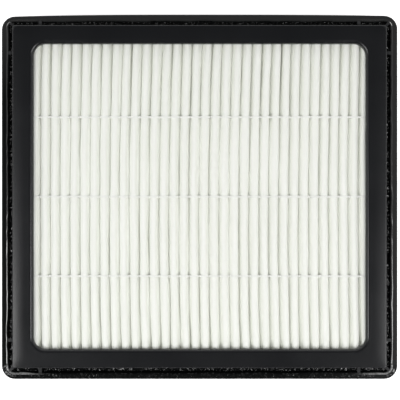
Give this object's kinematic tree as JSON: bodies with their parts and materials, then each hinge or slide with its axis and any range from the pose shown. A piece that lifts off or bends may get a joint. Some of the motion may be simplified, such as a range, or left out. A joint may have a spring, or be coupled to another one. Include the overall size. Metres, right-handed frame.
{
  "type": "hepa filter panel",
  "caption": "Flat rectangular filter cassette: a moulded frame with a soft sealing lip all round holds a folded filter sheet, its pleats kept apart by rows of hot melt.",
  "frame": {"origin": "centre of the cassette on the plane of its back rim, the face it lies on", "axes": "+X across the pleats, along the longer side; +Y along the pleats; +Z out of the front face"},
  "size_m": [0.126, 0.1164, 0.025],
  "materials": {
    "frame_plastic": "satin",
    "seal_rubber": "satin",
    "filter_media": "matte",
    "hot_melt": "satin",
    "potting_adhesive": "satin"
  },
  "bodies": {
    "root": {"frame": "frame_plastic", "seal": "seal_rubber", "pleated_media": "filter_media", "front_separator_lower": "hot_melt", "front_separator_middle": "hot_melt", "front_separator_upper": "hot_melt", "back_separator_lower": "hot_melt", "back_separator_middle": "hot_melt", "back_separator_upper": "hot_melt", "potting": "potting_adhesive"}
  },
  "joints": []
}
